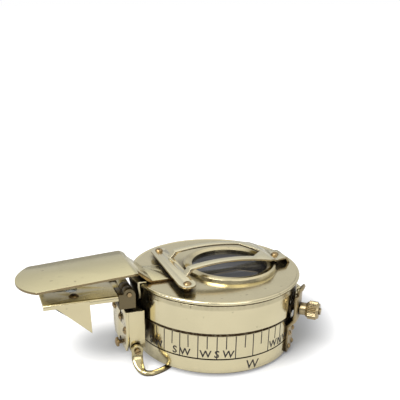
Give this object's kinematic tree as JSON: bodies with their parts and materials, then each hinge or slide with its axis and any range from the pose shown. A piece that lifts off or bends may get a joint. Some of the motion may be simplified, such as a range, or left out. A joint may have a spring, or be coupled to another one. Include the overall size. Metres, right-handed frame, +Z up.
{
  "type": "prismatic compass",
  "caption": "Brass prismatic compass with a hinged windowed lid, bowed sight frame, thumb paddle, folding prism on a focus slide, turning glass ring and carrying ring.",
  "frame": {"origin": "middle of the base's underside, on the case axis", "axes": "+Z up along the case axis, -X towards the prism, +X towards the lid's hinge"},
  "size_m": [0.1206, 0.071, 0.0421],
  "materials": {
    "case_brass": "polished",
    "lid_brass": "polished",
    "frame_brass": "polished",
    "fitting_brass": "polished",
    "screw_brass": "tarnished",
    "steel": "satin",
    "dial_silver": "printed satin",
    "clear_glass": "polished",
    "dark_glass": "polished",
    "prism_glass": "polished",
    "jewel": "polished"
  },
  "bodies": {
    "case": {"case_body": "case_brass", "pivot_post": "case_brass", "pivot_needle": "steel", "bezel_keeper": "case_brass", "dial_trim": "case_brass", "prism_bracket": "fitting_brass", "guide_plate": "fitting_brass", "guide_screws": "screw_brass", "ring_pins": "screw_brass", "case_hinge_leaf": "case_brass", "lid_hinge_pin": "case_brass", "clamp_strap": "fitting_brass", "strap_screws": "screw_brass", "brake_bush": "fitting_brass", "brake_frame": "fitting_brass"},
    "glass_ring": {"bezel_ring": "case_brass", "bezel_glass": "clear_glass", "glass_keeper": "case_brass"},
    "card": {"compass_card": "dial_silver", "card_cap": "case_brass", "card_jewel": "jewel", "card_magnets": "steel"},
    "lid": {"lid_shell": "lid_brass", "window_bezel": "frame_brass", "window_glass": "dark_glass", "hairline": "steel", "sight_frame": "frame_brass", "frame_posts": "frame_brass", "frame_screws": "screw_brass", "thumb_paddle": "lid_brass", "paddle_rivets": "screw_brass", "lid_catch": "lid_brass", "lid_hinge_leaf": "lid_brass"},
    "focus": {"focus_slide": "fitting_brass", "focus_stud": "screw_brass", "prism_hinge_pin": "screw_brass"},
    "prism_arm": {"prism_holder": "frame_brass", "prism": "prism_glass", "prism_screws": "screw_brass", "eye_lens": "clear_glass"},
    "brake_pin": {"brake_pin": "screw_brass"},
    "brake_lever": {"brake_lever": "fitting_brass"},
    "clamp_knob": {"clamp_knob": "fitting_brass"},
    "clamp_shoe": {"clamp_shoe": "fitting_brass"},
    "ring": {"carrying_ring": "fitting_brass"}
  },
  "joints": [
    {"name": "lid_hinge", "type": "hinge", "parent": "case", "child": "lid", "pos_m": [0.0374, 0, 0.0195], "axis": [0, 1, 0], "range_deg": [0, 105]},
    {"name": "prism_fold", "type": "hinge", "parent": "focus", "child": "prism_arm", "pos_m": [-0.0402, 0, 0.0301], "axis": [0, 1, 0], "range_deg": [0, 180]},
    {"name": "focus_travel", "type": "slide", "parent": "case", "child": "focus", "axis": [0, 0, 1], "range_m": [-0.0015, 0.0025]},
    {"name": "glass_turn", "type": "hinge", "parent": "case", "child": "glass_ring", "pos_m": [0, 0, 0.0215], "axis": [0, 0, 1], "continuous": true},
    {"name": "card_turn", "type": "hinge", "parent": "case", "child": "card", "pos_m": [0, 0, 0.0227], "axis": [0, 0, 1], "continuous": true},
    {"name": "ring_swing", "type": "hinge", "parent": "case", "child": "ring", "pos_m": [-0.038, 0, 0.0058], "axis": [0, 1, 0], "range_deg": [0, 170]},
    {"name": "clamp_turn", "type": "hinge", "parent": "case", "child": "clamp_knob", "pos_m": [0.03217, -0.027, 0.02], "axis": [0.766, -0.6428, 0], "range_deg": [0, 300]},
    {"name": "clamp_press", "type": "slide", "parent": "case", "child": "clamp_shoe", "axis": [-0.766, 0.6428, 0], "range_m": [0, 0.000375]},
    {"name": "brake_push", "type": "slide", "parent": "case", "child": "brake_pin", "axis": [1, 0, 0], "range_m": [0, 0.0008], "stiffness_N_per_m": 300},
    {"name": "brake_tip", "type": "hinge", "parent": "case", "child": "brake_lever", "pos_m": [-0.0275, -0.001, 0.008], "axis": [0, -1, 0], "range_deg": [0, 12.4]}
  ],
  "couplings": [
    {"joint": "prism_fold", "follows": "lid_hinge", "ratio": 1.7143},
    {"joint": "clamp_press", "follows": "clamp_turn", "m_per_rad": 0.00007162},
    {"joint": "brake_tip", "follows": "brake_push", "rad_per_m": 270}
  ]
}
